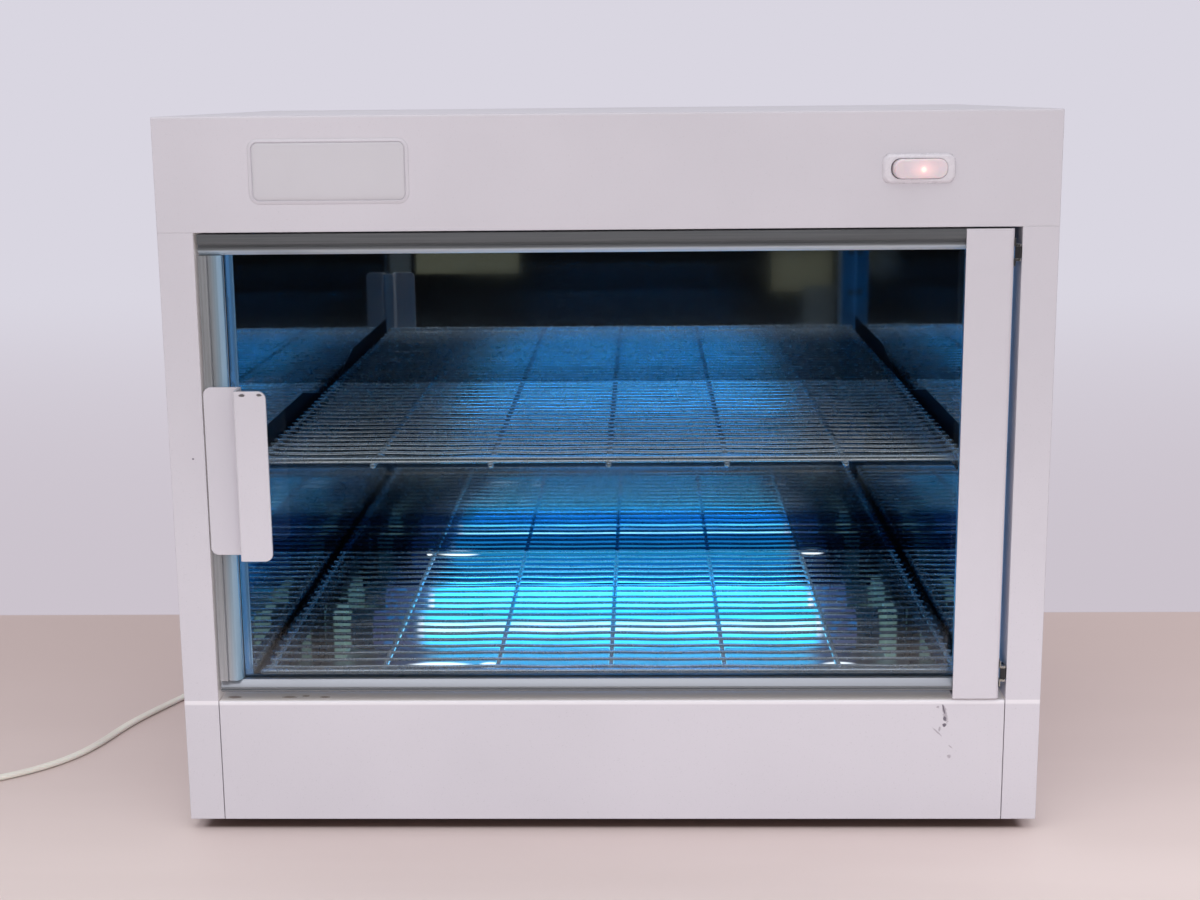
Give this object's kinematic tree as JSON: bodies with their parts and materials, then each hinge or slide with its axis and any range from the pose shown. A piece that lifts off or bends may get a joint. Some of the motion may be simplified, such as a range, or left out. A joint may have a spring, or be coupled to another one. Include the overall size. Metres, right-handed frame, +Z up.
{
  "type": "dish sterilizer cabinet",
  "caption": "Countertop ultraviolet sterilizer cabinet with a framed glass door hinged on the right, two wire shelves over tube lamps, a rocker switch and a mains lead.",
  "frame": {"origin": "on the floor under the middle of the cabinet with its handle, measured without the mains lead", "axes": "+Z up, the door faces -Y, +X to the right as seen from the front"},
  "size_m": [0.6696, 0.4718, 0.384],
  "materials": {
    "painted_case": "satin",
    "polished_steel": "mirror polished",
    "shelf_rail_steel": "satin",
    "shelf_chrome": "polished",
    "screw_steel": "zinc plated",
    "hinge_black": "satin",
    "frame_aluminium": "anodised satin",
    "door_pane": "clear",
    "seal_rubber": "matte",
    "lamp_glass": "clear",
    "lamp_cap_metal": "satin",
    "holder_plastic": "satin",
    "ballast_paint": "satin",
    "switch_white": "gloss",
    "rocker_lens": "translucent gloss",
    "neon_glass": "clear",
    "contact_brass": "polished",
    "lead_ivory": "satin"
  },
  "bodies": {
    "cabinet": {"back_panel": "painted_case", "ballasts": "ballast_paint", "base_pan": "painted_case", "case_screws": "screw_steel", "catch_magnet": "hinge_black", "cord_coil": "lead_ivory", "cord_relief": "lead_ivory", "door_stops": "seal_rubber", "feet": "seal_rubber", "front_sill": "polished_steel", "hinge_brackets": "hinge_black", "inner_lead": "lead_ivory", "inner_screws": "screw_steel", "lamp_holders": "holder_plastic", "lamp_tray": "polished_steel", "ledge_left": "polished_steel", "ledge_right": "polished_steel", "left_side_panel": "painted_case", "liner_back": "polished_steel", "liner_ceiling": "polished_steel", "liner_left": "polished_steel", "liner_right": "polished_steel", "liner_supports": "shelf_rail_steel", "lower_panel": "painted_case", "nameplate": "switch_white", "neon_lamp": "neon_glass", "plug": "lead_ivory", "plug_blades": "contact_brass", "power_cord": "lead_ivory", "right_side_panel": "painted_case", "shelf_rail_left": "shelf_rail_steel", "shelf_rail_right": "shelf_rail_steel", "starter_sockets": "holder_plastic", "starters": "screw_steel", "switch_body": "switch_white", "switch_tabs": "contact_brass", "switch_wiring": "lead_ivory", "terminal_block": "holder_plastic", "top_cover": "painted_case"},
    "door": {"door_top_rail": "frame_aluminium", "door_bottom_rail": "frame_aluminium", "door_handle_stile": "frame_aluminium", "door_hinge_stile": "frame_aluminium", "door_glass": "door_pane", "glass_gasket": "seal_rubber", "hinge_strip": "painted_case", "hinge_strip_screws": "screw_steel", "handle": "painted_case", "handle_backing": "shelf_rail_steel", "handle_screws": "screw_steel", "hinge_ears": "screw_steel", "hinge_pins": "screw_steel", "striker_plate": "screw_steel"},
    "switch_rocker": {"rocker": "rocker_lens"},
    "upper_shelf_body": {"upper_shelf": "shelf_chrome"},
    "lower_shelf_body": {"lower_shelf": "shelf_chrome"},
    "front_lamp": {"lamp_1_tube": "lamp_glass", "lamp_1_caps": "lamp_cap_metal"},
    "rear_lamp": {"lamp_2_tube": "lamp_glass", "lamp_2_caps": "lamp_cap_metal"}
  },
  "joints": [
    {"name": "door_hinge", "type": "hinge", "parent": "cabinet", "child": "door", "pos_m": [0.2096, -0.1469, 0.20045], "axis": [0, 0, 1], "range_deg": [0, 110]},
    {"name": "rocker_pivot", "type": "hinge", "parent": "cabinet", "child": "switch_rocker", "pos_m": [0.1582, -0.1465, 0.355], "axis": [0, 0, -1], "range_deg": [0, 16]},
    {"name": "upper_shelf_lift", "type": "slide", "parent": "cabinet", "child": "upper_shelf_body", "axis": [0, 0, 1], "range_m": [0, 0.06]},
    {"name": "lower_shelf_lift", "type": "slide", "parent": "cabinet", "child": "lower_shelf_body", "axis": [0, 0, 1], "range_m": [0, 0.06]},
    {"name": "front_lamp_turn", "type": "hinge", "parent": "cabinet", "child": "front_lamp", "pos_m": [0, 0.0205, 0.0625], "axis": [1, 0, 0], "range_deg": [0, 90]},
    {"name": "rear_lamp_turn", "type": "hinge", "parent": "cabinet", "child": "rear_lamp", "pos_m": [0, 0.0775, 0.0625], "axis": [1, 0, 0], "range_deg": [0, 90]}
  ]
}
